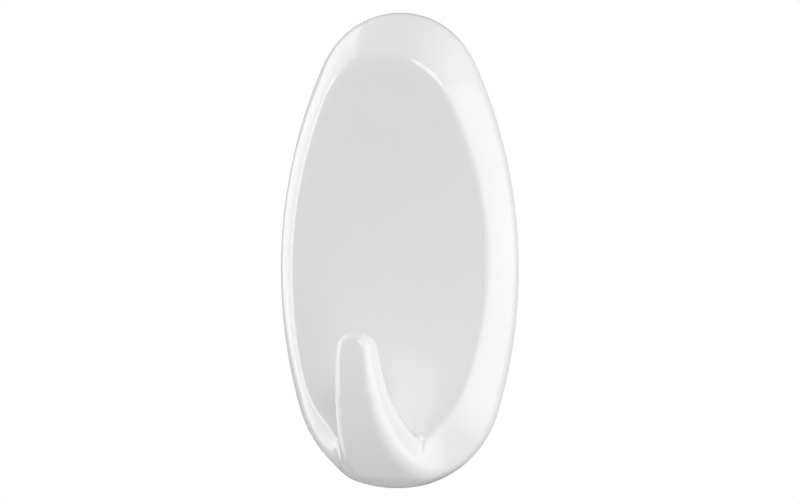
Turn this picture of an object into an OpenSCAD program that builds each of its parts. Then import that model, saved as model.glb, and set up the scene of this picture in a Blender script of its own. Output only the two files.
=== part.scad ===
// Adhesive wall hook: an oval clip-on cover with a nose-shaped hook, a wall base and a stretch-release strip.
// Millimetres. The wall is the plane y = 0, the front faces -Y, +Z is up, and x = z = 0 is the middle of the strip.

/* [Strip] */
// Width of the strip
strip_w = 20; // [14:0.5:30]
// Length of the sticking part of the strip
strip_l = 44; // [30:0.5:70]
// Length of the pull tab below it
tab_l = 13; // [8:0.5:14]
// Thickness of the foam carrier
core_t = 0.6; // [0.3:0.05:1.2]
// Thickness of each adhesive layer
adhesive_t = 0.15; // [0.1:0.01:0.3]
// Thickness of the films on the tab
film_t = 0.08; // [0.04:0.01:0.12]
// Corner radius of the strip
strip_corner = 3; // [1:0.5:5]
// Bare carrier between the tab films and the adhesive
film_gap = 0.5; // [0.2:0.1:2]

/* [Wall base] */
// Border of the base plate round the strip
base_border = 1.5; // [0.5:0.1:3]
// Thickness of the base plate
base_t = 1.5; // [1:0.1:2.5]
// Corner radius of the base plate
base_corner = 3; // [1:0.5:5]
// Height of the stiffening ribs on the base plate
rib_h = 0.9; // [0.5:0.1:2]
// Thickness of the stiffening ribs
rib_t = 1.2; // [0.8:0.1:2]
// Distance between the two ribs
rib_pitch = 6; // [4:0.5:9]
// Length of the four ears that the cover hangs on
ear_len = 8; // [5:0.5:11]
// Distance of the lower ears from the lower end of the base
ear_low_inset = 8.5; // [4:0.5:10]
// Distance of the upper ears from the upper end of the base
ear_high_inset = 6.5; // [2:0.5:10]
// Distance of the ears' edges from the side of the base
ear_setback = 1; // [0.4:0.1:2]
// Thickness of the ears
ear_t = 1.2; // [0.8:0.05:2]
// Thickness of the ears' feet
ear_foot = 1.6; // [1:0.1:2.5]
// Lead-in at the upper end of the ears
ear_lead = 0.4; // [0.2:0.05:0.6]

/* [Clips] */
// How far the clip lips reach behind the ears
lip_bite = 2.6; // [1.5:0.1:4]
// Thickness of the clip lips
lip_t = 1; // [0.7:0.05:1.6]
// Thickness of the clip walls
clip_t = 1.6; // [1.2:0.1:2.4]
// Running clearance of the clips on the ears
slide_clearance = 0.15; // [0.1:0.01:0.3]

/* [Cover] */
// Height of the cover above and below the base
end_margin = 16.5; // [15:0.5:30]
// Width of the cover beside the base
side_margin = 9.6; // [8:0.1:16]
// How far the widest level lies below mid height
widest_drop = 3.1; // [0:0.1:8]
// Fullness of the sides: 1 gives pointed ends, more gives blunter ones
side_fullness = 1.486; // [1.3:0.01:2]
// Wall thickness of the cover
cover_wall = 1.9; // [1.4:0.1:3]
// Clearance between the ears and the roof of the hollow
roof_clearance = 0.5; // [0.3:0.05:2]
// Clearance between the pull tab and the rear edge of the cover
tab_clearance = 0.37; // [0.3:0.01:1]
// Radius of the concave face, bent about a level axis
face_r = 167; // [110:1:320]
// Height of the lowest level of the face above mid height
face_level = 3; // [-6:0.5:10]
// Width of the flank at the sides
flank_side = 3.8; // [3:0.1:6]
// Height of the flank at the top and bottom ends
flank_end = 7.6; // [5:0.1:11]
// Height of the upright edge below the flank
rim_h = 1.9; // [1:0.1:3]
// How far the flank swells out from a straight bevel
flank_swell = 0.35; // [0:0.05:0.6]
// Width of the soft edge round the face
crest_soft = 0.5; // [0.3:0.1:2]
// Width of the soft edge round the rim
rim_soft = 0.9; // [0.4:0.1:1.5]

/* [Hook] */
// Reach of the hook in front of the rear edge of the cover
hook_reach = 24.2; // [21:0.1:34]
// Outer radius of the hook's belly
belly_r = 24.5; // [20:0.1:29]
// Width of the hook at its tip
hook_w = 5.7; // [5.6:0.1:10]
// Growth of the hook's width towards its root, in fractions a degree
hook_flare = 0.0148; // [0.006:0.0002:0.018]
// Widening from the front of the hook to its back, in fractions of the thickness
hook_draft = 0.08; // [0:0.01:0.2]
// Thickness at the tip
tip_t = 5.2; // [4.4:0.1:6.5]
// Thickness at the root
root_t = 7.5; // [6:0.1:11]
// Angle of the tip above the centre of the belly
tip_angle = 6.7; // [2:0.1:16]
// Radius of the crown of the tip
crown_r = 2.8; // [1.2:0.1:2.8]
// Edge radius of the crown, so that the tip ends in a dome
crown_edge_r = 2.2; // [1.3:0.1:2.2]
// Edge radius below the crown
tip_edge_r = 1.3; // [0.6:0.1:1.6]
// Edge radius at the root
root_edge_r = 3.3; // [1.5:0.1:4]
// Width of the fillet between hook and cover
root_fillet = 3.3; // [2:0.1:6]
// Distance from the edge of the face over which the fillet narrows, so that the edge stays crisp
fillet_run_out = 3; // [1:0.1:5]
// Wall left round the pocket that cores out the root
pocket_wall = 2.2; // [1.6:0.1:3]

/* [Hidden] */
$fn = 64;
e = 0.01;
// Depths from the wall: strip, base, clip lips, ears, roof and rear edge of the cover
base_back = core_t + 2 * adhesive_t;
base_front = base_back + base_t;
lip_back = base_front + slide_clearance;
ear_back = lip_back + lip_t + slide_clearance;
ear_front = ear_back + ear_t;
wall_gap = adhesive_t + core_t + film_t + tab_clearance;
face_depth = ear_front + roof_clearance + cover_wall - wall_gap;
// Plan sizes
base_w = strip_w + 2 * base_border;
base_h = strip_l + 2 * base_border;
ear_low = -base_h / 2 + ear_low_inset;
ear_high = base_h / 2 - ear_high_inset - ear_len;
ear_reach = base_w / 2 - ear_setback;
lip_in = ear_reach - lip_bite;
ear_root = lip_in - 2 * slide_clearance;
clip_in = ear_reach + 2 * slide_clearance;
clip_out = clip_in + clip_t;
cover_h = base_h + 2 * end_margin;
cover_w = base_w + 2 * side_margin;
top_z = cover_h / 2;
low_z = -cover_h / 2;
widest_z = -widest_drop;
// Centre of the belly: its lowest point meets the lower end of the oval
belly_d = hook_reach - belly_r;
belly_z = low_z + belly_r - 0.6;
// Middle of the open crook, round which the section planes fan
crook_z = belly_z - 2.6;
crook_d = (face_depth + hook_reach - tip_t) / 2;
// The skin runs on behind the rear edge and is cut off flat there
tail = 3;
// Counts of the moulding's skin: sections down the body, round the crook and up the tip, and points in a section
body_steps = 26;
fan_steps = 30;
tip_steps = 6;
ring = 56;

// The lesser of two values, rounded over a band k where they are nearly equal
function smooth_min(a, b, k) =
    let (h = max(k - abs(a - b), 0) / k)
    min(a, b) - h * h * k / 4;

function smooth_max(a, b, k) = -smooth_min(-a, -b, k);

// The greater of two distances, with the outer corner rounded to radius r
function round_max(a, b, r) =
    norm([max(a + r, 0), max(b + r, 0)]) + min(max(a, b) + r, 0) - r;

// Four-centre oval: [side radius, side centre, top radius, top centre, bottom radius, bottom centre]
function oval_arcs(half, top, bottom) =
    let (
        up = top - widest_z,
        down = widest_z - bottom,
        far = max(up, down),
        rs = side_fullness * (far * far + half * half) / (2 * half),
        xs = rs - half,
        rt = (rs * rs - xs * xs - up * up) / (2 * (rs - up)),
        rb = (rs * rs - xs * xs - down * down) / (2 * (rs - down))
    )
    [rs, xs, rt, top - rt, rb, bottom + rb];

outline = oval_arcs(cover_w / 2, top_z, low_z);
face_edge = oval_arcs(cover_w / 2 - flank_side, top_z - flank_end, low_z + flank_end);

// Distance of a point inside an oval, negative outside it
function oval_depth(o, x, z) =
    let (
        u = abs(x),
        rise = o[1] * (z - widest_z),
        out = u + o[1]
    )
    rise > (o[3] - widest_z) * out ? o[2] - norm([u, z - o[3]])
    : rise < (o[5] - widest_z) * out ? o[4] - norm([u, z - o[5]])
    : o[0] - norm([out, z - widest_z]);

// Point of an oval, set inwards, where its normal leans by the given angle from straight up
function oval_point(o, inset, angle) =
    let (
        t = atan2(o[1], o[3] - widest_z),
        b = atan2(o[1], o[5] - widest_z)
    )
    angle <= t ? [(o[2] - inset) * sin(angle), o[3] + (o[2] - inset) * cos(angle)]
    : angle >= b ? [(o[4] - inset) * sin(angle), o[5] + (o[4] - inset) * cos(angle)]
    : [(o[0] - inset) * sin(angle) - o[1], widest_z + (o[0] - inset) * cos(angle)];

// Points of the oval, set inwards: eight on each end arc and ten on each side arc
function oval_points(o, inset) =
    let (
        t = atan2(o[1], o[3] - widest_z),
        b = atan2(o[1], o[5] - widest_z),
        angles = concat(
            [for (i = [0:8]) t * i / 8],
            [for (i = [1:10]) t + (b - t) * i / 10],
            [for (i = [1:8]) b + (180 - b) * i / 8]
        ),
        right = [for (a = angles) oval_point(o, inset, a)]
    )
    concat(right, [for (i = [len(right) - 2:-1:1]) [-right[i][0], right[i][1]]]);

// Depth of the concave face at a height
function face_at(z) = face_depth + (z - face_level) * (z - face_level) / (2 * face_r);

// Body of the cover: below the face inside its edge, falling along the swollen flank to the upright rim
function body_skin(x, d, z) =
    let (
        q = oval_depth(outline, x, z),
        p = -oval_depth(face_edge, x, z),
        s = min(max(q / max(q + p, 0.3), -1), 1.6),
        f = face_at(z),
        flank = rim_h + (f - rim_h) * s * (1 + flank_swell * (1 - s))
    )
    (d - smooth_min(f, flank, crest_soft)) * 0.78;

// Hook: a ring of the belly's radius, growing thicker and wider from the tip down to the root
function hook_skin(x, d, z) =
    let (
        r = norm([d - belly_d, z - belly_z]),
        turn = atan2(z - belly_z, d - belly_d),
        angle = turn > 150 ? turn - 360 : turn,
        below = max(-angle, 0),
        part = min(below / 60, 1),
        t = tip_t + (root_t - tip_t) * min(below / 60, 1.3),
        w = hook_w / 2 * exp(hook_flare * below) + hook_draft * (belly_r - r),
        dome = min(max((angle + 6) / (tip_angle + 6), 0), 1),
        edge = tip_edge_r + (root_edge_r - tip_edge_r) * part + (crown_edge_r - tip_edge_r) * dome * dome,
        side = abs(x) - w,
        end = (angle - tip_angle) * PI / 180 * r
    )
    round_max(round_max(side, end, crown_r), abs(r - belly_r + t / 2) - t / 2, edge);

// The whole moulding: body and hook joined by a fillet and kept inside the oval, with a softer edge further out
function skin(x, d, z) =
    let (
        from_edge = min(abs(oval_depth(face_edge, x, z)) / fillet_run_out, 1),
        fillet = crest_soft + (root_fillet - crest_soft) * from_edge,
        joined = smooth_min(body_skin(x, d, z), hook_skin(x, d, z), fillet),
        soft = rim_soft + 0.58 * min(max(d - 3, 0), 14)
    )
    max(smooth_max(joined, -oval_depth(outline, x, z), soft), -d - tail);

// A section plane is [depth, height, depth step, height step]; its value at x and a distance along the step
function at(s, x, u) = skin(x, s[0] + s[2] * u, s[1] + s[3] * u);

// First distance along a plane, from u on, where the moulding begins or ends
function seek(s, u, inside) =
    u > 60 ? u
    : (at(s, 0, u) < 0) == inside ? u
    : seek(s, u + 0.2, inside);

// Crossing of the skin between a point inside and a point outside, by halving
function cross(s, x0, u0, x1, u1, n) =
    let (x = (x0 + x1) / 2, u = (u0 + u1) / 2)
    n == 0 ? [x, u]
    : at(s, x, u) < 0 ? cross(s, x, u, x1, u1, n - 1)
    : cross(s, x0, u0, x, u, n - 1);

// Height of the crown of the tip above a point of the hook
function crown_z(d, z) = skin(0, d, z) < 0 ? crown_z(d, z + 0.05) : z;

// Ring of skin points in one plane, cast from the middle of the section
function section_ring(s) =
    let (
        u_in = seek(s, 0, true),
        u_out = seek(s, u_in, false),
        near = cross(s, 0, u_in, 0, u_in - 0.2, 12)[1],
        far = cross(s, 0, u_out - 0.2, 0, u_out, 12)[1],
        m = (near + far) / 2,
        half_u = (far - near) / 2,
        half_x = cross(s, 0, m, cover_w, m, 16)[0]
    )
    [for (i = [0:ring - 1])
        let (
            cx = half_x * cos(360 * i / ring),
            cu = half_u * sin(360 * i / ring),
            reach = min(
                abs(cu) < 0.001 ? 1e6 : (cu < 0 ? m : 40) / abs(cu),
                abs(cx) < 0.001 ? 1e6 : cover_w / abs(cx)
            ),
            c = cross(s, 0, m, cx * reach, m + cu * reach, 18)
        )
        [c[0], -(wall_gap + s[0] + s[2] * c[1]), s[1] + s[3] * c[1]]
    ];

// Outer skin of the moulding: level sections down the body, a fan round the crook, level sections up the tip
module moulding() {
    last = [crook_d, crook_z, 1, 0];
    mid = crook_d + (seek(last, 0, true) + seek(last, seek(last, 0, true), false)) / 2;
    tip_z = crown_z(mid, crook_z);
    planes = concat(
        [for (i = [0:body_steps - 1])
            [crook_d, crook_z + (top_z - 0.08 - crook_z) * cos(90 * i / body_steps), -1, 0]],
        [for (i = [0:fan_steps])
            [crook_d, crook_z, -cos(180 * i / fan_steps), -sin(180 * i / fan_steps)]],
        [for (i = [1:tip_steps])
            [crook_d, crook_z + (tip_z - 0.2 - crook_z) * sin(90 * i / tip_steps), 1, 0]]
    );
    rings = [for (s = planes) section_ring(s)];
    n = len(rings);
    points = concat(
        [for (r = rings) each r],
        [[0, tail / 2 - wall_gap, top_z], [0, -wall_gap - mid, tip_z]]
    );
    faces = concat(
        [for (j = [0:n - 2], i = [0:ring - 1])
            let (a = j * ring + i, b = j * ring + (i + 1) % ring)
            each [[a, b, a + ring], [b, b + ring, a + ring]]],
        [for (i = [0:ring - 1]) [n * ring, (i + 1) % ring, i]],
        [for (i = [0:ring - 1])
            [n * ring + 1, (n - 1) * ring + i, (n - 1) * ring + (i + 1) % ring]]
    );
    difference() {
        polyhedron(points, faces, convexity = 6);
        translate([-cover_w, -wall_gap, -cover_h])
            cube([2 * cover_w, 2 * tail, 2 * cover_h]);
    }
}

// Rectangle with rounded corners, centred
module rounded_plate(w, h, r) {
    square([w - 2 * r, h], center = true);
    square([w, h - 2 * r], center = true);
    for (x = [-1, 1], z = [-1, 1])
        translate([x * (w / 2 - r), z * (h / 2 - r)])
            circle(r);
}

// Stands a plan drawn in x and z up against the wall, from one depth to another
module upright(from, to) {
    translate([0, -from, 0])
        rotate([90, 0, 0])
            linear_extrude(to - from)
                children();
}

// Hollow behind the face: tapered like the flank, with a roof that runs parallel to the face
module cavity() {
    depth = face_depth + 1;
    difference() {
        hull() {
            upright(wall_gap - 1, wall_gap - 1 + e)
                polygon(oval_points(outline, cover_wall - 0.5));
            upright(wall_gap + depth, wall_gap + depth + e)
                polygon(oval_points(outline, cover_wall + flank_side + 1.1));
        }
        translate([-cover_w, -(wall_gap + face_depth + face_r), face_level])
            rotate([0, 90, 0])
                cylinder(r = face_r + cover_wall, h = 2 * cover_w, $fn = 256);
    }
}

// Pocket that cores out the thick root of the hook, concentric with its belly
module root_pocket() {
    width = hook_w / 2;
    translate([-width / 2, -(wall_gap + belly_d), belly_z])
        rotate([0, 90, 0])
            difference() {
                intersection() {
                    cylinder(r = belly_r - pocket_wall, h = width);
                    linear_extrude(width)
                        polygon([
                            [0, 0], [2 * belly_r * cos(28), -2 * belly_r * sin(28)],
                            [2 * belly_r, belly_d - face_depth / 2], [0, belly_d - face_depth / 2],
                        ]);
                }
                translate([0, 0, -1])
                    cylinder(r = belly_r - root_t + pocket_wall, h = width + 2);
            }
}

// One clip inside the cover: a wall beside the ear, a lip behind it and a stop that rests on top of it
module clip(side, low) {
    roof = wall_gap + min(face_at(low), face_at(low + ear_len + clip_t)) - cover_wall / 4;
    mirror([side < 0 ? 1 : 0, 0, 0]) {
        translate([clip_in, -roof, low])
            cube([clip_t, roof - lip_back, ear_len + clip_t]);
        translate([lip_in, -lip_back - lip_t, low])
            cube([clip_out - lip_in, lip_t, ear_len + clip_t]);
        translate([lip_in, -roof, low + ear_len])
            cube([clip_out - lip_in, roof - lip_back, clip_t]);
    }
}

module hook_cover() {
    color("white") {
        difference() {
            moulding();
            cavity();
            root_pocket();
        }
        for (side = [-1, 1], low = [ear_low, ear_high])
            clip(side, low);
    }
}

// One ear: a foot on the plate and a flange over the clip lip, with a lead-in at its upper end
module ear(side, low) {
    x0 = ear_root - ear_foot;
    mirror([side < 0 ? 1 : 0, 0, 0]) {
        translate([x0, -ear_front, low])
            cube([ear_foot, ear_front - base_front + e, ear_len]);
        translate([x0, 0, low])
            rotate([90, 0, 90])
                linear_extrude(ear_reach - x0)
                    polygon([
                        [-ear_back, 0], [-ear_back, ear_len - ear_lead], [-ear_back - ear_lead, ear_len],
                        [-ear_front, ear_len], [-ear_front, 0],
                    ]);
    }
}

module mounting_base() {
    color("gainsboro") {
        upright(base_back, base_front)
            rounded_plate(base_w, base_h, base_corner);
        for (side = [-1, 1], low = [ear_low, ear_high])
            ear(side, low);
        for (x = [-rib_pitch / 2, rib_pitch / 2])
            upright(base_front - e, base_front + rib_h)
                translate([x, 0])
                    square([rib_t, base_h - 2 * base_corner], center = true);
    }
}

module base_adhesive() {
    color("lightgrey")
        upright(base_back - adhesive_t, base_back)
            rounded_plate(strip_w, strip_l, strip_corner);
}

// The carrier runs on below the sticking part as the tab
module strip_core() {
    color("ivory")
        upright(adhesive_t, adhesive_t + core_t)
            translate([0, -tab_l / 2])
                rounded_plate(strip_w, strip_l + tab_l, strip_corner);
}

module wall_adhesive() {
    color("lightgrey")
        upright(0, adhesive_t)
            rounded_plate(strip_w, strip_l, strip_corner);
}

// Film over the tab's face, a little shorter than the tab so that it clears the adhesive
module tab_film(from, to) {
    upright(from, to)
        intersection() {
            translate([0, -tab_l / 2])
                rounded_plate(strip_w, strip_l + tab_l, strip_corner);
            translate([-strip_w, -strip_l / 2 - tab_l - 1])
                square([2 * strip_w, tab_l + 1 - film_gap]);
        }
}

module tab_film_front() {
    color("steelblue")
        tab_film(adhesive_t + core_t, adhesive_t + core_t + film_t);
}

module tab_film_back() {
    color("steelblue")
        tab_film(adhesive_t - film_t, adhesive_t);
}

hook_cover();
mounting_base();
base_adhesive();
strip_core();
wall_adhesive();
tab_film_front();
tab_film_back();
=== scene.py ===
# %% [markdown]
# # A white adhesive wall hook
# The hook is two mouldings, a glossy cover and a satin base, and a stretch-release strip. The
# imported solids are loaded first, because they fix where everything is: the wall is the plane
# y = 0, the front looks towards -y, and z is up. All shapes below are worked out in millimetres
# and turned into metres when a mesh is made.

import bpy
import numpy as np
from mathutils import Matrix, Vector


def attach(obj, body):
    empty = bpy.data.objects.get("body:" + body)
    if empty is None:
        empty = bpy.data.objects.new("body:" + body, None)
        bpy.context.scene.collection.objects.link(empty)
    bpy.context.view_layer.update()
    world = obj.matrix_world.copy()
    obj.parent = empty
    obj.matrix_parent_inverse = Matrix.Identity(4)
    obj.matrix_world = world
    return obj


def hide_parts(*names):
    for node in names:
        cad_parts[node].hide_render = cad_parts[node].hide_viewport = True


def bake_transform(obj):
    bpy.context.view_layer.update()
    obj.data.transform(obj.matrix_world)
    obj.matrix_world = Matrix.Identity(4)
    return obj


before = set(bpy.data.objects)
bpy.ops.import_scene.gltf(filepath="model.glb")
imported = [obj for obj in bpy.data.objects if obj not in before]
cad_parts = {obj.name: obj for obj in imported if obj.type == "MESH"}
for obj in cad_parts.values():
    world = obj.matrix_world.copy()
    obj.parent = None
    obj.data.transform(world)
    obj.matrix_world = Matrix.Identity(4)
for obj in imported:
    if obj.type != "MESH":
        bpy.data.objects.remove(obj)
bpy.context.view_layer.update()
MM = 0.001

# %% [markdown]
# ## Camera
# The photograph looks at the hook from its right, level with its middle, through a long lens that
# leaves almost no perspective. A lens could be guessed and the camera moved until things line up.
# Here the scale is settled first, in pixels for each millimetre, and the lens follows from it and
# from the distance.

# %% Set up the camera
VIEW_TURN = np.radians(20.0)
VIEW_DISTANCE = 1.5
PIXELS_PER_MM = 5.9325
FRAME_WIDTH_PX = 800
AIM_RIGHT_MM = -0.56
AIM_UP_MM = -0.27
SENSOR_MM = 36.0

towards_camera = Vector((np.sin(VIEW_TURN), -np.cos(VIEW_TURN), 0))
to_the_right = Vector((np.cos(VIEW_TURN), np.sin(VIEW_TURN), 0))
aim = to_the_right * (AIM_RIGHT_MM * MM) + Vector((0, 0, AIM_UP_MM * MM))

camera_data = bpy.data.cameras.new("camera")
camera_data.sensor_width = SENSOR_MM
camera_data.lens = VIEW_DISTANCE * SENSOR_MM / (FRAME_WIDTH_PX / PIXELS_PER_MM * MM)
camera_data.clip_start = 0.01
camera = bpy.data.objects.new("camera", camera_data)
camera.location = aim + towards_camera * VIEW_DISTANCE
camera.rotation_euler = (-towards_camera).to_track_quat("-Z", "Y").to_euler()
bpy.context.scene.collection.objects.link(camera)
bpy.context.scene.camera = camera
bpy.context.scene.view_settings.view_transform = "Standard"
print("lens", round(camera_data.lens, 1), "mm")

# %% [markdown]
# ## Meshes from grids
# Every new piece is a sheet of points: rows and columns that are worked out as whole arrays. Points
# that fall on the same spot, such as the two ends of a ring or the points at a pole, are welded, and
# faces that shrink to a line are dropped, so that a closed shape has no seam.

# %% Helpers that turn grids into meshes
WELD_MM = 1e-4


def grid_quads(rows, columns, closed):
    """Quads that join each point to the next column and row; closed joins the last column to the first."""
    i, j = np.meshgrid(np.arange(rows - 1), np.arange(columns if closed else columns - 1), indexing="ij")
    k = (j + 1) % columns
    quads = np.stack([i * columns + j, i * columns + k, (i + 1) * columns + k, (i + 1) * columns + j], -1)
    return quads.reshape(-1, 4)


def signed_volume(points, quads):
    """Sum over the faces of the volume of a pyramid to the origin: positive where faces point outwards."""
    a, b, c, d = (points[quads[:, i]] for i in range(4))
    return (np.einsum("ij,ij->i", a, np.cross(b, c)) + np.einsum("ij,ij->i", a, np.cross(c, d))).sum() / 6


def weld(grids):
    """Joins grids of (points, quads) into one shell: equal points become one, and faces point outwards."""
    counts = np.cumsum([0] + [len(p) for p, _ in grids])
    points = np.concatenate([p for p, _ in grids])
    quads = np.concatenate([q + start for (_, q), start in zip(grids, counts)])
    spots = np.round(points / WELD_MM).astype(np.int64)
    _, first, index = np.unique(spots, axis=0, return_index=True, return_inverse=True)
    points, quads = points[first], index.reshape(-1)[quads]
    return points, quads if signed_volume(points, quads) > 0 else quads[:, ::-1]


def make_piece(name, shells, body, replaced, crease=None):
    """Puts welded shells, in millimetres, into one mesh without collapsed sides, and hangs it on a body.

    A piece that rides on a body is shaded by its larger faces, so that flat faces look flat.
    """
    points, faces, start = [], [], 0
    for p, q in shells:
        same = q == np.roll(q, -1, axis=1)
        whole = q[~same.any(axis=1)]
        part = q[same.sum(axis=1) == 1]
        keep = ~same[same.sum(axis=1) == 1]
        thirds = part[keep].reshape(-1, 3)
        twisted = (whole[:, 0] == whole[:, 2]) | (whole[:, 1] == whole[:, 3])
        faces += (whole[~twisted] + start).tolist() + (thirds + start).tolist()
        points.append(p)
        start += len(p)
    mesh = bpy.data.meshes.new(name)
    mesh.from_pydata((np.concatenate(points) * MM).tolist(), [], faces)
    mesh.validate()
    mesh.shade_smooth()
    if crease is not None:
        mesh.set_sharp_from_angle(angle=np.radians(crease))
    piece = bpy.data.objects.new(name, mesh)
    bpy.context.scene.collection.objects.link(piece)
    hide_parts(*replaced)
    if body:
        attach(piece, body)
        piece.modifiers.new("flat_faces", "WEIGHTED_NORMAL")
    print(name, len(mesh.vertices), "points", len(mesh.polygons), "faces")
    return piece


# %% [markdown]
# ## Outline of the cover
# Seen from the front the cover is an oval that is blunter below than above. An egg curve or a spline
# could be drawn through it, but tool makers build such outlines from arcs that meet without a
# corner: two long side arcs and a smaller arc at each end. The same construction gives the edge of
# the face, a few millimetres inside.

# %% Ovals from four arcs
COVER_HALF_WIDTH = 21.1
COVER_END = 40.0
WIDEST_LEVEL = -3.1
SIDE_FULLNESS = 1.486
FLANK_SIDE = 3.8
FLANK_END = 7.6


def oval_arcs(half, end):
    """Radius and centre of the side arc, the top arc and the bottom arc of an oval without corners."""
    up, down = end - WIDEST_LEVEL, WIDEST_LEVEL + end
    side_r = SIDE_FULLNESS * (max(up, down) ** 2 + half**2) / (2 * half)
    side_x = side_r - half
    top_r = (side_r**2 - side_x**2 - up**2) / (2 * (side_r - up))
    low_r = (side_r**2 - side_x**2 - down**2) / (2 * (side_r - down))
    return side_r, side_x, top_r, end - top_r, low_r, low_r - end


def which_arc(arcs, x, z):
    """Whether a point belongs to the top arc and to the bottom arc, divided by the lines of centres."""
    _, side_x, _, top_z, _, low_z = arcs
    rise, run = side_x * (z - WIDEST_LEVEL), np.abs(x) + side_x
    return rise > (top_z - WIDEST_LEVEL) * run, rise < (low_z - WIDEST_LEVEL) * run


def oval_depth(arcs, x, z):
    """Distance inside the oval: the arc's radius less the distance from its centre; negative outside."""
    side_r, side_x, top_r, top_z, low_r, low_z = arcs
    top, low = which_arc(arcs, x, z)
    side = side_r - np.hypot(np.abs(x) + side_x, z - WIDEST_LEVEL)
    at_top, at_low = top_r - np.hypot(x, z - top_z), low_r - np.hypot(x, z - low_z)
    return np.where(top, at_top, np.where(low, at_low, side))


def oval_half_width(arcs, z):
    """Half width at a level, from the circle of the arc that the level crosses."""
    side_r, side_x, top_r, top_z, low_r, low_z = arcs
    top_from = WIDEST_LEVEL + side_r * (top_z - WIDEST_LEVEL) / np.hypot(side_x, top_z - WIDEST_LEVEL)
    low_from = WIDEST_LEVEL + side_r * (low_z - WIDEST_LEVEL) / np.hypot(side_x, low_z - WIDEST_LEVEL)
    end_r = np.where(z > top_from, top_r, low_r)
    end_z = np.where(z > top_from, top_z, low_z)
    at_end = np.sqrt(np.maximum(end_r**2 - (z - end_z) ** 2, 0))
    at_side = np.sqrt(side_r**2 - (z - WIDEST_LEVEL) ** 2) - side_x
    return np.where((z > top_from) | (z < low_from), at_end, at_side)


def oval_inward(arcs, x, z):
    """Unit direction from a point of the oval to the centre of its arc."""
    _, side_x, _, top_z, _, low_z = arcs
    top, low = which_arc(arcs, x, z)
    centre_x = np.where(top | low, 0.0, -np.sign(x) * side_x)
    centre_z = np.where(top, top_z, np.where(low, low_z, WIDEST_LEVEL))
    away = np.hypot(centre_x - x, centre_z - z)
    return (centre_x - x) / away, (centre_z - z) / away


outline = oval_arcs(COVER_HALF_WIDTH, COVER_END)
face_edge = oval_arcs(COVER_HALF_WIDTH - FLANK_SIDE, COVER_END - FLANK_END)
print("end radii of the outline", round(outline[2], 2), "and", round(outline[4], 2), "mm")

# %% [markdown]
# ## The moulding as one formula
# The cover and its hook are one moulding with no seam. Meshes for the two could be joined by a
# Boolean and bevelled, but the fillet would never run out cleanly. Instead the whole moulding is a
# formula that is negative inside and positive outside, and its parts are joined by a minimum that is
# rounded where two surfaces meet, which is what a fillet is. The order matters. Flank and hook are
# joined by a wide fillet first, the concave face then cuts through both, so that its edge stays crisp
# down to the crook, and the hook is put back in front of the face. The tip ends in a low dome.

# %% Formula of the moulding
FACE_DEPTH, FACE_RADIUS, FACE_LEVEL = 6.1, 167.0, 3.0
RIM_HEIGHT, FLANK_SWELL, CREST_SOFT, RIM_SOFT = 1.9, 0.35, 0.6, 0.9
HOOK_REACH, BELLY_RADIUS = 24.2, 24.5
HOOK_WIDTH, HOOK_FLARE, HOOK_DRAFT = 5.7, 0.0148, 0.08
TIP_THICKNESS, ROOT_THICKNESS, THICKENS_OVER = 5.2, 7.5, 60.0
TIP_ANGLE, CROWN_RADIUS, CROWN_EDGE, CROWN_TURN = 6.7, 2.8, 2.2, 6.0
TIP_EDGE, ROOT_EDGE, ROOT_FILLET = 1.3, 3.3, 4.5
CROOK_FILLET, STEEPNESS = 0.3, 0.78
THICKEST_SHARE, SHARE_SOFT = 1.3, 0.6
LEAST_FLANK, FLANK_RUNS_ON = 0.3, 1.6
SOFT_SLOPE, SOFT_FROM, SOFT_RUN, SOFT_START, SOFT_STOP = 0.58, 3, 14, 2, 5
BELLY_OVERHANG, RING_SEAM = 0.6, 150
BELLY_DEPTH = HOOK_REACH - BELLY_RADIUS
BELLY_LEVEL = BELLY_RADIUS - COVER_END - BELLY_OVERHANG
WALL_GAP = 1.2


def smooth_min(a, b, width):
    """The lesser of two values, rounded by a cubic: a quarter of the width less where they are equal."""
    near = np.maximum(1 - np.abs(a - b) / (1.5 * width), 0)
    return np.minimum(a, b) - near**3 * width / 4


def round_max(a, b, radius):
    """The greater of two distances, with the outer corner turned into an arc."""
    corner = np.hypot(np.maximum(a + radius, 0), np.maximum(b + radius, 0))
    return corner + np.minimum(np.maximum(a, b) + radius, 0) - radius


def face_at(z):
    """Depth of the concave face at a level: a shallow parabola about a level axis."""
    return FACE_DEPTH + (z - FACE_LEVEL) ** 2 / (2 * FACE_RADIUS)


def flank_at(x, z):
    """Depth of the flank: it swells from the rim to the face's edge and runs on above the face."""
    inside, beyond = oval_depth(outline, x, z), -oval_depth(face_edge, x, z)
    share = np.clip(inside / np.maximum(inside + beyond, LEAST_FLANK), -1, FLANK_RUNS_ON)
    return RIM_HEIGHT + (face_at(z) - RIM_HEIGHT) * share * (1 + FLANK_SWELL * (1 - share))


def hook_formula(x, d, z):
    """Part of a ring about the belly's axis, thicker and wider to the root, with round edges and crown."""
    radius = np.hypot(d - BELLY_DEPTH, z - BELLY_LEVEL)
    angle = np.degrees(np.arctan2(z - BELLY_LEVEL, d - BELLY_DEPTH))
    angle = np.where(angle > RING_SEAM, angle - 360, angle)
    below = np.maximum(-angle, 0)
    share = below / THICKENS_OVER
    thickening = smooth_min(share, THICKEST_SHARE, SHARE_SOFT)
    thick = TIP_THICKNESS + (ROOT_THICKNESS - TIP_THICKNESS) * thickening
    half = HOOK_WIDTH / 2 * np.exp(HOOK_FLARE * below) + HOOK_DRAFT * (BELLY_RADIUS - radius)
    dome = np.clip((angle + CROWN_TURN) / (TIP_ANGLE + CROWN_TURN), 0, 1) ** 2
    softening = smooth_min(share, 1.0, SHARE_SOFT)
    edge = TIP_EDGE + (ROOT_EDGE - TIP_EDGE) * softening + (CROWN_EDGE - TIP_EDGE) * dome
    across = round_max(np.abs(x) - half, np.radians(angle - TIP_ANGLE) * radius, CROWN_RADIUS)
    return round_max(across, np.abs(radius - BELLY_RADIUS + thick / 2) - thick / 2, edge)


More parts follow.
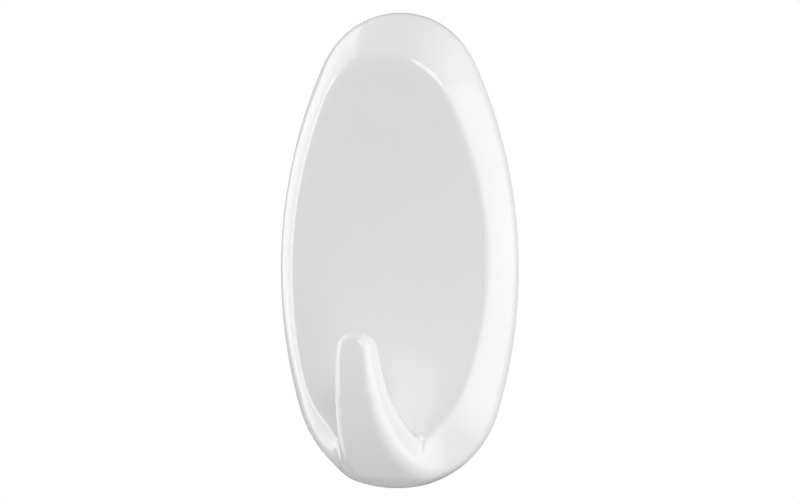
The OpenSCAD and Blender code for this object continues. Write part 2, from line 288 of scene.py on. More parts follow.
def moulding_formula(x, d, z):
    """Flank and hook joined by a fillet, cut off by the face, with the hook put back in front of it.

    The whole is kept inside the outline, with an edge that is softer further from the wall.
    """
    flank = (d - flank_at(x, z)) * STEEPNESS
    face = (d - face_at(z)) * STEEPNESS
    hook = hook_formula(x, d, z)
    cut = -smooth_min(-smooth_min(flank, hook, ROOT_FILLET), -face, CREST_SOFT)
    joined = smooth_min(cut, hook, CROOK_FILLET)
    forward = -smooth_min(SOFT_FROM - d, 0, SOFT_START)
    soft = RIM_SOFT + SOFT_SLOPE * smooth_min(forward, SOFT_RUN, SOFT_STOP)
    return np.maximum(-smooth_min(-joined, oval_depth(outline, x, z), soft), -d)


middle = moulding_formula(np.array([0.0]), np.array([FACE_DEPTH / 2]), np.array([0.0]))
print("value in the middle of the wall", np.round(middle, 2))

# %% [markdown]
# ## Sections that follow the hook
# A formula isn't a mesh yet. Marching cubes would give one, with a rough, even grid. Here the
# moulding is cut as a carver would cut it: level sections go down the body, turn like a fan round the
# crook, and go level up the tip. In each section, rays go out from the middle to the skin, so rows
# and columns flow along the hook. The first and last ray of a row hit the rear edge exactly, and one
# column on each side follows the edge of the face, which keeps both edges crisp. That column lets go
# of the edge slowly near the crook, where the planes of the fan are spaced evenly along it: a sudden
# change there would leave a groove round the root of the hook.

# %% Cast the skin
BODY_ROWS, FAN_REAR_ROWS, FAN_FRONT_ROWS, TIP_ROWS, SKIN_COLUMNS = 110, 80, 120, 26, 201
CREST_COLUMN, CREST_CROWDING = 68, 1.4
TRIAL_PLANES, FAN_REACH, CREST_FADE = 1500, 15.0, 5.0
REAR_EDGE, CROOK_DROP = 0.25, 2.6
CROOK_DEPTH = (FACE_DEPTH + HOOK_REACH - TIP_THICKNESS) / 2
CROOK_LEVEL = BELLY_LEVEL - CROOK_DROP
LONGEST_RAY, RAY_SAMPLES = 48.0, 2400
TIP_SEARCH, TIP_SAMPLES = 6, 4000
CREST_FALL, REAR_FALL, CREST_TRIES = -0.15, -0.05, 12


def first_exit(value, shape, far, steps=140, halvings=32):
    """Distance along rays where a value first turns positive: a march with growing steps, then halving."""
    low, high, found = np.zeros(shape), np.full(shape, far), np.zeros(shape, bool)
    previous = np.zeros(shape)
    for reach in far * (np.arange(1, steps + 1) / steps) ** 1.5:
        new = ~found & (value(np.full(shape, reach)) > 0)
        low, high = np.where(new, previous, low), np.where(new, reach, high)
        found |= new
        previous = np.full(shape, reach)
    for _ in range(halvings):
        half = (low + high) / 2
        inside = value(half) < 0
        low, high = np.where(inside, half, low), np.where(inside, high, half)
    return (low + high) / 2


def in_section(planes, across, out):
    """Value of the formula at a distance across section planes and a distance out along them."""
    level, step_depth, step_level = planes
    return moulding_formula(across, CROOK_DEPTH + step_depth * out, level + step_level * out)


def measure(planes):
    """Middle, half depth and half width of each section, from where its middle line enters and leaves."""
    along = np.linspace(0, LONGEST_RAY, RAY_SAMPLES)[None, :]
    inside = in_section(planes, 0 * along, along) < 0
    enter = inside.argmax(axis=1)
    leave = (np.cumsum(np.diff(inside, axis=1), axis=1) >= 2).argmax(axis=1)
    middle = ((along[0, enter] + along[0, leave]) / 2)[:, None]
    half = ((along[0, leave] - along[0, enter]) / 2)[:, None]
    width = first_exit(lambda r: in_section(planes, r, middle), middle.shape, LONGEST_RAY)
    return middle, half, width


def crest_of(planes):
    """Distance out and level at which each plane crosses the face, kept within the ends of the face."""
    level, step_depth, step_level = planes
    fall = np.minimum(step_depth, CREST_FALL)
    out = np.zeros_like(fall)
    for _ in range(CREST_TRIES):
        out = (face_at(level + step_level * out) - CROOK_DEPTH) / fall
    return out, np.clip(level + step_level * out, FLANK_END - COVER_END, COVER_END - FLANK_END)


rear_turn = np.arctan2(CROOK_LEVEL + COVER_END, CROOK_DEPTH - REAR_EDGE)
down = np.arange(1, BODY_ROWS) / BODY_ROWS
body_level = CROOK_LEVEL + (COVER_END - CROOK_LEVEL) * np.cos(np.pi / 2 * down)
fan_rear = rear_turn * (1 - (1 - np.arange(FAN_REAR_ROWS + 1) / FAN_REAR_ROWS) ** 2)
trial = np.linspace(rear_turn, np.pi, TRIAL_PLANES)
trial_crest = crest_of((CROOK_LEVEL, -np.cos(trial), -np.sin(trial)))[1]
trial_step = np.diff(trial, prepend=trial[0]) * FAN_REACH
path = np.cumsum(np.hypot(trial_step, np.diff(trial_crest, prepend=trial_crest[0])))
fan_front = np.interp(np.linspace(0, path[-1], FAN_FRONT_ROWS + 1)[1:], path, trial)
fan = np.concatenate([fan_rear, fan_front])

up_line = np.linspace(CROOK_LEVEL, BELLY_LEVEL + TIP_SEARCH, TIP_SAMPLES)
tip_depth = BELLY_DEPTH + BELLY_RADIUS - TIP_THICKNESS / 2
tip_level = up_line[np.argmax(moulding_formula(0 * up_line, tip_depth + 0 * up_line, up_line) > 0)]
rise = np.sin(np.pi / 2 * np.arange(1, TIP_ROWS) / TIP_ROWS)
tip_rows_level = CROOK_LEVEL + (tip_level - CROOK_LEVEL) * rise

plane_level = np.concatenate([body_level, np.full(len(fan), CROOK_LEVEL), tip_rows_level])[:, None]
step_depth = np.concatenate([np.full(len(body_level), -1.0), -np.cos(fan), np.ones(len(rise))])[:, None]
step_level = np.concatenate([np.zeros(len(body_level)), -np.sin(fan), np.zeros(len(rise))])[:, None]

planes = (plane_level, step_depth, step_level)
section_mid, section_half, half_across = measure(planes)
to_rear = (REAR_EDGE - CROOK_DEPTH) / np.minimum(step_depth, REAR_FALL)
to_rear = np.where(step_depth < REAR_FALL, to_rear, LONGEST_RAY)
rear_level = plane_level + step_level * to_rear
rear_half = np.where(rear_level > -COVER_END, oval_half_width(outline, rear_level), 0.0)
edge_rows = len(body_level) + FAN_REAR_ROWS + 1
open_row = np.arange(len(plane_level))[:, None] < edge_rows
corner = np.arctan2((to_rear - section_mid) / section_half, rear_half / half_across)
corner = np.where(open_row, corner, np.pi / 2)

crest_out, crest_level = crest_of(planes)
crest_half = oval_half_width(face_edge, crest_level)
crest_turn = np.arctan2((crest_out - section_mid) / section_half, crest_half / half_across)
middle_column = SKIN_COLUMNS // 2
plain_turn = corner - (np.pi / 2 + corner) * CREST_COLUMN / middle_column
follow = np.clip((crest_level + COVER_END - FLANK_END) / CREST_FADE, 0, 1)
knee = plain_turn + follow**2 * (3 - 2 * follow) * (crest_turn - plain_turn)
flank_part = 1 - (1 - np.linspace(0, 1, CREST_COLUMN + 1)) ** CREST_CROWDING
face_part = np.linspace(0, 1, middle_column - CREST_COLUMN + 1)[1:] ** CREST_CROWDING
flank_turn = corner + (knee - corner) * flank_part
face_turn = knee - (np.pi / 2 + knee) * face_part
half_turn = np.concatenate([flank_turn, face_turn], axis=1)
turn = np.concatenate([half_turn, -np.pi - half_turn[:, -2::-1]], axis=1)
ray_x, ray_out = half_across * np.cos(turn), section_half * np.sin(turn)
size = np.hypot(ray_x, ray_out)


def along_rays(r):
    """Value of the formula at a distance along every ray of every section."""
    return in_section(planes, ray_x / size * r, section_mid + ray_out / size * r)


reach = first_exit(along_rays, turn.shape, LONGEST_RAY)
skin_x = ray_x / size * reach
skin_out = section_mid + ray_out / size * reach
skin_d = CROOK_DEPTH + step_depth * skin_out
skin_z = plane_level + step_level * skin_out
skin_x[:edge_rows, [0, -1]] = rear_half[:edge_rows] * np.array([[1.0, -1.0]])
skin_d[:edge_rows, [0, -1]] = REAR_EDGE
skin_z[:edge_rows, [0, -1]] = rear_level[:edge_rows]
print("skin of", skin_x.shape, "points, tip at", round(float(tip_level), 2), "mm")

# %% [markdown]
# The rows end open at the top of the cover and at the tip of the hook. A fan of triangles to one point
# could close each. Here one more row is added that falls on a single line or point, and welding does
# the rest.

# %% Close the skin at the top and at the tip
top_row = np.stack([0 * skin_x[0], skin_d[0], np.full(SKIN_COLUMNS, COVER_END)], -1)
tip_row = np.tile([0.0, tip_depth, tip_level], (SKIN_COLUMNS, 1))
skin = np.concatenate([top_row[None], np.stack([skin_x, skin_d, skin_z], -1), tip_row[None]])
skin_points = skin.reshape(-1, 3) * [1, -1, 1] - [0, WALL_GAP, 0]
skin_grid = (skin_points, grid_quads(skin.shape[0], SKIN_COLUMNS, False))

# %% [markdown]
# ## The hollow behind the cover
# A moulding this size is a shell: a flat rear edge, a tapered wall and a roof that runs parallel to
# the face. A Solidify modifier would give an even wall, but it would also hollow out the hook. So the
# hollow is its own sheet: a profile of (set in from the outline, depth) that is carried round the
# rear edge, and a roof that closes towards the middle line. Its first row is the skin's own rear
# edge, so the two weld into one closed shell.

# %% Profile of the rear edge, the wall and the roof
COVER_WALL = 1.9
MOUTH_INSET, MOUTH_BEHIND = 1.4, 1.0
TAPER = 5.4 / 8.1
HOLLOW_DEPTH = FACE_DEPTH + 1.0
MOUTH_ROUND, ROOF_ROUND = 0.25, 0.9
WALL_ROWS, BEND_ROWS, ROOF_ROWS = 8, 7, 14


def wall_inset(d):
    """How far the hollow's wall is set in at a depth: a straight taper from just behind the rear edge."""
    return MOUTH_INSET + TAPER * (d + MOUTH_BEHIND)


def roof_depth(z):
    """Depth of the roof at a level: a cylinder one wall behind the face, cut off flat where it is deep."""
    roof = FACE_DEPTH + FACE_RADIUS - np.sqrt((FACE_RADIUS + COVER_WALL) ** 2 - (z - FACE_LEVEL) ** 2)
    return np.minimum(roof, HOLLOW_DEPTH)


right = skin[: edge_rows + 1, 0]
loop = np.concatenate([right, right[-2:0:-1] * [-1, 1, 1]])
loop_x, loop_z = loop[:, 0], loop[:, 2]
in_x, in_z = oval_inward(outline, loop_x, loop_z)
quarter = np.radians([0, 30, 60, 90])
mouth = wall_inset(0.0)
rear_inset = np.concatenate([REAR_EDGE * (1 - np.cos(quarter)), mouth - MOUTH_ROUND * np.cos(quarter)])
rear_depth = np.concatenate([REAR_EDGE * (1 - np.sin(quarter)), MOUTH_ROUND * (1 - np.cos(quarter))])
roof_edge = roof_depth(loop_z + in_z * wall_inset(FACE_DEPTH))
wall_top = roof_edge - ROOF_ROUND
climb = np.linspace(0, 1, WALL_ROWS)[1:, None]
wall_depth = MOUTH_ROUND + (wall_top - MOUTH_ROUND) * climb
bend = np.linspace(0, 1, BEND_ROWS)[1:, None]
corner_inset = wall_inset(roof_edge)
bend_inset = (1 - bend) ** 2 * wall_inset(wall_top) + 2 * bend * (1 - bend) * corner_inset
bend_inset = bend_inset + bend**2 * (corner_inset + ROOF_ROUND)
bend_depth = (1 - bend) ** 2 * wall_top + (1 - (1 - bend) ** 2) * roof_edge
profile_inset = np.concatenate(
    [np.repeat(rear_inset[:, None], len(loop), 1), wall_inset(wall_depth), bend_inset]
)
profile_depth = np.concatenate([np.repeat(rear_depth[:, None], len(loop), 1), wall_depth, bend_depth])
hollow_x, hollow_z = loop_x + in_x * profile_inset, loop_z + in_z * profile_inset

inner_x, inner_z = hollow_x[-1], hollow_z[-1]
_, _, _, top_centre, _, low_centre = outline
spine_z = np.clip(inner_z, low_centre, top_centre)
close = np.linspace(0, 1, ROOF_ROWS)[1:, None]
roof_x, roof_z = inner_x * (1 - close), inner_z + (spine_z - inner_z) * close
roof_d = roof_depth(roof_z) * close + (1 - close) * np.minimum(roof_depth(roof_z), profile_depth[-1])
hollow = np.stack(
    [
        np.concatenate([hollow_x, roof_x]),
        -np.concatenate([profile_depth, roof_d]) - WALL_GAP,
        np.concatenate([hollow_z, roof_z]),
    ],
    -1,
)
hollow_grid = (hollow.reshape(-1, 3), grid_quads(hollow.shape[0], hollow.shape[1], True)[:, ::-1])
cover_shell = weld([skin_grid, hollow_grid])
print("cover encloses", round(signed_volume(*cover_shell) / 1000, 2), "cm3")

# %% [markdown]
# ## Clips and ears
# Four clips inside the cover grip four ears on the base. Each is a few small blocks with softened
# edges. A cube with a Bevel modifier would do, but the blocks are grids as well: a ball is pulled
# apart into eight corners, and the faces between the corners stretch flat.

# %% Rounded blocks
def rounded_block(low, high, radius, steps=4):
    """A box with round edges: each point of a ball is moved out to the corner of its own octant."""
    low, high = np.array(low, float), np.array(high, float)
    part = np.linspace(0, np.pi / 2, steps)
    around = np.concatenate([part + k * np.pi / 2 for k in range(4)])
    across = np.concatenate([part - np.pi / 2, part])
    side_x = np.repeat([1, -1, -1, 1], steps)
    side_y = np.repeat([1, 1, -1, -1], steps)
    side_z = np.repeat([-1, 1], steps)
    lat, lon = np.meshgrid(across, around, indexing="ij")
    ball = np.stack([np.cos(lat) * np.cos(lon), np.cos(lat) * np.sin(lon), np.sin(lat)], -1)
    octant = np.stack(np.broadcast_arrays(side_x[None, :], side_y[None, :], side_z[:, None]), -1)
    centre, half = (low + high) / 2, (high - low) / 2
    grid = centre + octant * (half - radius) + ball * radius
    ends = np.broadcast_to(centre, (1, len(around), 3))
    below, above = ends.copy(), ends.copy()
    below[..., 2], above[..., 2] = low[2], high[2]
    grid = np.concatenate([below, grid, above])
    return weld([(grid.reshape(-1, 3), grid_quads(grid.shape[0], grid.shape[1], True))])


def mirrored(shell):
    """The shell on the other side of the middle plane, with its faces turned to point outwards again."""
    points, quads = shell
    return points * [-1, 1, 1], quads[:, ::-1]


BASE_WIDTH, BASE_HEIGHT = 23.0, 47.0
BASE_BACK, BASE_FRONT = 0.9, 2.4
EAR_LENGTH, EAR_LEVELS = 8.0, (-15.0, 9.0)
EAR_BACK, EAR_FRONT, EAR_REACH, EAR_FOOT = 3.7, 4.9, 10.5, 1.6
LIP_BACK, LIP_FRONT, LIP_IN = 2.55, 3.55, 7.9
CLIP_IN, CLIP_OUT, CLIP_WALL = 10.8, 12.4, 1.6
CLIP_EDGE, EAR_EDGE = 0.25, 0.2


def clip_blocks(level):
    """Side wall, lip and stop of one clip on the right, from the lip's back up into the roof."""
    end = level + EAR_LENGTH + CLIP_WALL
    roof = WALL_GAP + face_at(np.array([level, end])).min() - COVER_WALL / 4
    return [
        rounded_block((CLIP_IN, -roof, level), (CLIP_OUT, -LIP_BACK, end), CLIP_EDGE),
        rounded_block((LIP_IN, -LIP_FRONT, level), (CLIP_OUT, -LIP_BACK, end), CLIP_EDGE),
        rounded_block((LIP_IN, -roof, level + EAR_LENGTH), (CLIP_OUT, -LIP_BACK, end), CLIP_EDGE),
    ]


clips = [block for level in EAR_LEVELS for block in clip_blocks(level)]
cover_shells = [cover_shell] + clips + [mirrored(block) for block in clips]
cover = make_piece("glossy_cover", cover_shells, "cover", ["hook_cover"])

# %% [markdown]
# ## Flat pieces: base plate, foam strip, adhesives and films
# All of them are flat plates with round corners, from a stiff 1.5 mm moulding to a film thinner than
# paper. One function serves them all: an outline with many points along its sides, an edge profile,
# and two faces that close towards the middle line. The points along the sides let the strip stretch
# smoothly when its tab is pulled.

# %% Plates with round corners
CORNER_POINTS, EDGE_POINTS, TINY = 9, 4, 1e-9


def plate(width, low, high, corner, back, front, edge, straight_top=False, side_points=64):
    """Round-cornered plate between two levels and two depths, with a small radius round its edges."""
    half = width / 2
    part = np.linspace(0, np.pi / 2, CORNER_POINTS)
    top_r = 0.0 if straight_top else corner
    top_x, top_z = half - top_r + top_r * np.sin(part), high - top_r + top_r * np.cos(part)
    low_x, low_z = half - corner + corner * np.cos(part), low + corner - corner * np.sin(part)
    sides = np.linspace(high - top_r, low + corner, side_points + 2)[1:-1]
    right_x = np.concatenate([[0], top_x, np.full(side_points, half), low_x, [0]])
    right_z = np.concatenate([[high], top_z, sides, low_z, [low]])
    x, z = np.concatenate([right_x, -right_x[-2:0:-1]]), np.concatenate([right_z, right_z[-2:0:-1]])
    in_x = -np.sign(x) * (np.abs(x) >= half - corner - TINY)
    in_z = np.where(z > high - corner, -1.0, np.where(z < low + corner, 1.0, 0.0))
    away = np.maximum(np.hypot(in_x, in_z), TINY)
    bend = np.linspace(0, np.pi / 2, EDGE_POINTS)[:, None]
    rows_in = np.concatenate([edge * (1 - np.sin(bend)), edge * (1 - np.cos(bend))])
    rows_y = np.concatenate([back + edge * (1 - np.cos(bend)), front - edge * (1 - np.sin(bend))])
    rim_x, rim_z = x + in_x / away * rows_in, z + in_z / away * rows_in
    rim_y = np.broadcast_to(rows_y, rim_x.shape)
    spine = np.clip(z, low + corner, high - corner)
    close = np.array([[1.0], [0.5]])
    back_x, back_z = rim_x[0] * (1 - close), rim_z[0] + (spine - rim_z[0]) * close
    front_x, front_z = rim_x[-1] * (1 - close[::-1]), rim_z[-1] + (spine - rim_z[-1]) * close[::-1]
    grid = np.stack(
        [
            np.concatenate([back_x, rim_x, front_x]),
            -np.concatenate([np.full(back_x.shape, back), rim_y, np.full(front_x.shape, front)]),
            np.concatenate([back_z, rim_z, front_z]),
        ],
        -1,
    )
    return weld([(grid.reshape(-1, 3), grid_quads(grid.shape[0], grid.shape[1], True))])


STRIP_WIDTH, STRIP_HALF, TAB_LENGTH, STRIP_CORNER = 20.0, 22.0, 13.0, 3.0
ADHESIVE, FOAM, FILM, FILM_GAP = 0.15, 0.6, 0.08, 0.5
RIB_PITCH, RIB_THICK, RIB_HEIGHT, BASE_CORNER = 6.0, 1.2, 0.9, 3.0
LIP_CLEARANCE, BLOCK_SEAT = 0.3, 0.3
BASE_EDGE, FOAM_EDGE, ADHESIVE_EDGE, FILM_EDGE = 0.25, 0.06, 0.03, 0.01
BASE_CREASE, STRIP_CREASE = 40, 50

base_half = BASE_HEIGHT / 2
base_shells = [plate(BASE_WIDTH, -base_half, base_half, BASE_CORNER, BASE_BACK, BASE_FRONT, BASE_EDGE)]
ear_root = LIP_IN - LIP_CLEARANCE
block_back = -BASE_FRONT + BLOCK_SEAT
ears = []
for level in EAR_LEVELS:
    top = level + EAR_LENGTH
    foot = (ear_root - EAR_FOOT, -EAR_FRONT, level)
    ears.append(rounded_block(foot, (ear_root, block_back, top), EAR_EDGE))
    ears.append(rounded_block(foot, (EAR_REACH, -EAR_BACK, top), EAR_EDGE))
ribs = [
    rounded_block(
        (x - RIB_THICK / 2, -BASE_FRONT - RIB_HEIGHT, -base_half + BASE_CORNER),
        (x + RIB_THICK / 2, block_back, base_half - BASE_CORNER),
        EAR_EDGE,
    )
    for x in (-RIB_PITCH / 2, RIB_PITCH / 2)
]
base_shells += ears + [mirrored(block) for block in ears] + ribs
base = make_piece("wall_base", base_shells, "wall_mount", ["mounting_base"], BASE_CREASE)

foam_front = ADHESIVE + FOAM
strip_low = -STRIP_HALF - TAB_LENGTH
film_top = -STRIP_HALF - FILM_GAP


def strip_plate(low, high, back, front, edge, straight_top=False):
    """A layer of the strip between two levels and two depths."""
    return plate(STRIP_WIDTH, low, high, STRIP_CORNER, back, front, edge, straight_top)


foam_shell = strip_plate(strip_low, STRIP_HALF, ADHESIVE, foam_front, FOAM_EDGE)
base_side = strip_plate(-STRIP_HALF, STRIP_HALF, foam_front, BASE_BACK, ADHESIVE_EDGE)
wall_side = strip_plate(-STRIP_HALF, STRIP_HALF, 0.0, ADHESIVE, ADHESIVE_EDGE)
front_shell = strip_plate(strip_low, film_top, foam_front, foam_front + FILM, FILM_EDGE, True)
back_shell = strip_plate(strip_low, film_top, ADHESIVE - FILM, ADHESIVE, FILM_EDGE, True)


def strip_piece(name, shell, body, node):
    """One layer of the strip as a piece that replaces one solid."""
    return make_piece(name, [shell], body, [node], STRIP_CREASE)


strip = strip_piece("foam_strip", foam_shell, None, "strip_core")
glue_front = strip_piece("adhesive_to_base", base_side, None, "base_adhesive")
glue_back = strip_piece("adhesive_to_wall", wall_side, None, "wall_adhesive")
film_front = strip_piece("film_on_tab_front", front_shell, "pull_tab", "tab_film_front")
film_back = strip_piece("film_on_tab_back", back_shell, "pull_tab", "tab_film_back")

# %% [markdown]
# The foam and the adhesives stretch when the tab is pulled: their upper end stays on the wall, and
# their lower end goes with the tab. Several rigid parts could stand in for a strip, but they would
# part from each other, so each layer stays one mesh. Here each layer hangs on no body, and its
# placement is baked into its points.

# %% Bake the layers of the strip in place
for piece in (strip, glue_front, glue_back):
    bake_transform(piece)

# %% [markdown]
# ## Moulded plastic
# Glossy white plastic isn't one flat white. The melt leaves very faint cloudy flow, the gloss changes
# a little over the surface, and the polished mould still prints a trace of its grain. A picture could
# carry this, but noise in the object's own coordinates has no seams. The group is shared by the cover
# and the base, each with its own values.

# %% Shader group for mouldings
NOISE_LOW, NOISE_HIGH = 0.3, 0.7


def new_group(name, inputs, outputs):
    """An empty shader group with named number inputs and outputs."""
    group = bpy.data.node_groups.new(name, "ShaderNodeTree")
    for label, value in inputs:
        socket = group.interface.new_socket(label, in_out="INPUT", socket_type="NodeSocketFloat")
        socket.default_value = value
    for label in outputs:
        group.interface.new_socket(label, in_out="OUTPUT", socket_type="NodeSocketFloat")
    return group, group.nodes.new("NodeGroupInput"), group.nodes.new("NodeGroupOutput")


def add_noise(tree, detail, scale_socket):
    """Noise in object coordinates whose scale comes from a socket."""
    place = tree.nodes.new("ShaderNodeTexCoord")
    noise = tree.nodes.new("ShaderNodeTexNoise")
    noise.inputs["Detail"].default_value = detail
    tree.links.new(place.outputs["Object"], noise.inputs["Vector"])
    tree.links.new(scale_socket, noise.inputs["Scale"])
    return noise.outputs["Fac"]


def add_range(tree, source, low, high):
    """Maps the middle of 0 to 1, where noise mostly lies, to a range whose ends are sockets or numbers."""
    node = tree.nodes.new("ShaderNodeMapRange")
    node.inputs["From Min"].default_value = NOISE_LOW
    node.inputs["From Max"].default_value = NOISE_HIGH
    tree.links.new(source, node.inputs["Value"])
    for label, end in (("To Min", low), ("To Max", high)):
        if isinstance(end, (int, float)):
            node.inputs[label].default_value = end
        else:
            tree.links.new(end, node.inputs[label])
    return node.outputs["Result"]


moulded, inp, out = new_group(
    "moulded_surface",
    [("Flow Scale", 60.0), ("Grain Scale", 2500.0), ("Gloss Low", 0.2), ("Gloss High", 0.25)],
    ["Flow", "Roughness", "Grain"],
)
flow = add_noise(moulded, 2.0, inp.outputs["Flow Scale"])
grain = add_noise(moulded, 3.0, inp.outputs["Grain Scale"])
moulded.links.new(add_range(moulded, flow, 0.0, 1.0), out.inputs["Flow"])
gloss = add_range(moulded, flow, inp.outputs["Gloss Low"], inp.outputs["Gloss High"])
moulded.links.new(gloss, out.inputs["Roughness"])
moulded.links.new(grain, out.inputs["Grain"])
print("group", moulded.name, "with", len(moulded.nodes), "nodes")

# %% [markdown]
# Two materials use the group. One with a switch for gloss would do as well, but two with their own
# values are easier to change: the cover is polished, and the base has the finer, rougher grain of an
# eroded mould.

# %% Materials of the two mouldings
def new_material(name, settings):
    """A material with its Principled shader, set by socket names."""
    material = bpy.data.materials.new(name)
    material.use_nodes = True
    shader = material.node_tree.nodes["Principled BSDF"]
    for label, value in settings.items():
        shader.inputs[label].default_value = value
    return material, material.node_tree, shader


def place_group(tree, group, values):
    """A copy of a shader group in a material, with its own values."""
    node = tree.nodes.new("ShaderNodeGroup")
    node.node_tree = group
    for label, value in values.items():
        node.inputs[label].default_value = value
    return node


def mix_colours(tree, factor, first, second):
    """Colour that goes from the first to the second as the factor goes from 0 to 1."""
    node = tree.nodes.new("ShaderNodeMix")
    node.data_type = "RGBA"
    node.inputs[6].default_value = (*first, 1)
    node.inputs[7].default_value = (*second, 1)
    tree.links.new(factor, node.inputs["Factor"])
    return node.outputs[2]


def raise_grain(tree, shader, height, depth_mm, strength):
    """Bump from a height that is one depth tall."""
    bump = tree.nodes.new("ShaderNodeBump")
    bump.inputs["Distance"].default_value = depth_mm * MM
    bump.inputs["Strength"].default_value = strength
    tree.links.new(height, bump.inputs["Height"])
    tree.links.new(bump.outputs["Normal"], shader.inputs["Normal"])


def moulded_plastic(name, first, second, values, depth_mm, strength):
    """Plastic whose tone and gloss follow the flow of the melt, with the grain of the mould as bump."""
    material, tree, shader = new_material(name, {"IOR": 1.47})
    node = place_group(tree, moulded, values)
    tree.links.new(mix_colours(tree, node.outputs["Flow"], first, second), shader.inputs["Base Color"])
    tree.links.new(node.outputs["Roughness"], shader.inputs["Roughness"])
    raise_grain(tree, shader, node.outputs["Grain"], depth_mm, strength)
    return material


glossy_white = moulded_plastic(
    "glossy_white_plastic",
    (0.80, 0.80, 0.795),
    (0.815, 0.815, 0.81),
    {"Flow Scale": 70.0, "Grain Scale": 1800.0, "Gloss Low": 0.11, "Gloss High": 0.14},
    0.002,
    0.12,
)
satin_white = moulded_plastic(
    "satin_white_plastic",
    (0.74, 0.74, 0.73),
    (0.77, 0.77, 0.76),
    {"Flow Scale": 90.0, "Grain Scale": 4200.0, "Gloss Low": 0.42, "Gloss High": 0.5},
    0.02,
    0.5,
)
cover.data.materials.append(glossy_white)
base.data.materials.append(satin_white)

# %% [markdown]
# ## Foam, adhesive and film
# The carrier is closed-cell foam: small round cells that show as pale bubbles. The adhesive is tacky
# and slightly glossy, with weak streaks from coating that run along the strip. The film on the tab is
# satin, with fine embossed lines for grip. Pictures could show all three, but they would stretch with
# the strip's mesh: here cells come from Voronoi distances, streaks from stretched noise, and lines
# from a wave.

# %% Materials of the strip
def stretched_place(tree, stretch):
    """Object coordinates, scaled along each axis."""
    place = tree.nodes.new("ShaderNodeTexCoord")
    mapping = tree.nodes.new("ShaderNodeMapping")
    mapping.inputs["Scale"].default_value = stretch
    tree.links.new(place.outputs["Object"], mapping.inputs["Vector"])
    return mapping.outputs["Vector"]


foam, tree, shader = new_material("closed_cell_foam", {"Roughness": 0.75, "IOR": 1.4})
cells = tree.nodes.new("ShaderNodeTexVoronoi")
cells.inputs["Scale"].default_value = 2600.0
tree.links.new(stretched_place(tree, (1, 1, 1)), cells.inputs["Vector"])
cell_colour = mix_colours(tree, cells.outputs["Distance"], (0.86, 0.85, 0.80), (0.72, 0.71, 0.66))
tree.links.new(cell_colour, shader.inputs["Base Color"])
raise_grain(tree, shader, cells.outputs["Distance"], 0.05, 0.6)

tacky, tree, shader = new_material("tacky_adhesive", {"IOR": 1.49})
streaks = tree.nodes.new("ShaderNodeTexNoise")
streaks.inputs["Scale"].default_value = 900.0
streaks.inputs["Detail"].default_value = 4.0
tree.links.new(stretched_place(tree, (1, 1, 0.08)), streaks.inputs["Vector"])
streak_colour = mix_colours(tree, streaks.outputs["Fac"], (0.79, 0.785, 0.75), (0.82, 0.815, 0.78))
tree.links.new(streak_colour, shader.inputs["Base Color"])
tree.links.new(add_range(tree, streaks.outputs["Fac"], 0.22, 0.4), shader.inputs["Roughness"])
raise_grain(tree, shader, streaks.outputs["Fac"], 0.01, 0.12)

satin_film, tree, shader = new_material("satin_film", {"IOR": 1.5})
lines = tree.nodes.new("ShaderNodeTexWave")
lines.bands_direction = "Z"
lines.inputs["Scale"].default_value = 380.0
lines.inputs["Distortion"].default_value = 0.0
tree.links.new(stretched_place(tree, (1, 1, 1)), lines.inputs["Vector"])
line_colour = mix_colours(tree, lines.outputs["Fac"], (0.30, 0.47, 0.64), (0.36, 0.53, 0.70))
tree.links.new(line_colour, shader.inputs["Base Color"])
tree.links.new(add_range(tree, lines.outputs["Fac"], 0.34, 0.46), shader.inputs["Roughness"])
raise_grain(tree, shader, lines.outputs["Fac"], 0.02, 0.5)

for material, layers in (
    (foam, [strip]),
    (tacky, [glue_front, glue_back]),
    (satin_film, [film_front, film_back]),
):
    for layer in layers:
        layer.data.materials.append(material)
print("materials", [m.name for m in bpy.data.materials])

# %% [markdown]
# ## Studio
# The photograph is a cut-out on white, lit softly from all round: a large box on the right, a box and
# a narrow strip on the left that draw the line along the left edge, a small one high in front, and
# one overhead. Fewer lamps with a bright world would be simpler, but then the face and the flank
# would have the same tone. The pale floor lies well below the tab at its longest pull and shows only
# from above. White behind the hook is what the camera alone sees of the world: it adds no light.

# %% Floor, world and soft boxes
FLOOR_LEVEL = -0.6
FLOOR_RADIUS, FLOOR_POINTS = 0.6, 64

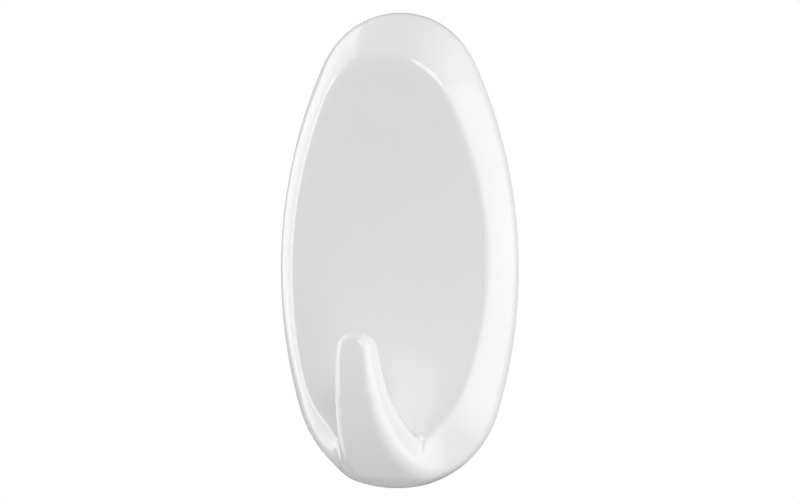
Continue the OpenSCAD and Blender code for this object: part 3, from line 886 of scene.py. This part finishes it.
ring = np.linspace(0, 2 * np.pi, FLOOR_POINTS, endpoint=False)
floor_x, floor_y = FLOOR_RADIUS * np.cos(ring), FLOOR_RADIUS * np.sin(ring)
floor_points = np.stack([floor_x, floor_y, np.full(FLOOR_POINTS, FLOOR_LEVEL)], -1)
floor_mesh = bpy.data.meshes.new("floor")
floor_mesh.from_pydata(floor_points.tolist(), [], [list(range(FLOOR_POINTS))])
floor = bpy.data.objects.new("floor", floor_mesh)
bpy.context.scene.collection.objects.link(floor)
pale, tree, shader = new_material("pale_floor", {"Base Color": (0.7, 0.7, 0.7, 1), "Roughness": 0.7})
surface = tree.nodes["Material Output"].inputs["Surface"]
sides = tree.nodes.new("ShaderNodeNewGeometry")
clear = tree.nodes.new("ShaderNodeBsdfTransparent")
one_sided = tree.nodes.new("ShaderNodeMixShader")
tree.links.new(sides.outputs["Backfacing"], one_sided.inputs[0])
tree.links.new(shader.outputs[0], one_sided.inputs[1])
tree.links.new(clear.outputs[0], one_sided.inputs[2])
tree.links.new(one_sided.outputs[0], surface)
floor_mesh.materials.append(pale)

AMBIENT = 0.2
world = bpy.data.worlds.new("studio")
bpy.context.scene.world = world
world.use_nodes = True
tree = world.node_tree
rays = tree.nodes.new("ShaderNodeLightPath")
strength = tree.nodes.new("ShaderNodeMapRange")
strength.inputs["To Min"].default_value = AMBIENT
strength.inputs["To Max"].default_value = 1.0
tree.links.new(rays.outputs["Is Camera Ray"], strength.inputs["Value"])
background = tree.nodes["Background"]
background.inputs["Color"].default_value = (1, 1, 1, 1)
tree.links.new(strength.outputs["Result"], background.inputs["Strength"])


def soft_box(name, turn, tilt, distance, width, height, watts):
    """A rectangular lamp that looks at the hook, turned right from the front and tilted up, in degrees.

    Its distance, width and height are in metres.
    """
    turn, tilt = np.radians(turn), np.radians(tilt)
    towards = Vector((np.cos(tilt) * np.sin(turn), -np.cos(tilt) * np.cos(turn), np.sin(tilt)))
    lamp = bpy.data.lights.new(name, "AREA")
    lamp.shape = "RECTANGLE"
    lamp.size, lamp.size_y, lamp.energy = width, height, watts
    box = bpy.data.objects.new(name, lamp)
    box.location = towards * distance
    box.rotation_euler = (-towards).to_track_quat("-Z", "Y").to_euler()
    bpy.context.scene.collection.objects.link(box)


soft_box("right_box", 80, -10, 1.2, 2.0, 2.2, 19.5)
soft_box("left_box", -97, 2, 1.2, 1.4, 2.2, 12.5)
soft_box("left_strip", -70, 0, 1.2, 0.5, 1.0, 5.0)
soft_box("front_box", 20, 28, 2.2, 1.4, 0.8, 17.0)
soft_box("top_box", 20, 89.9, 1.2, 2.6, 2.6, 9.0)
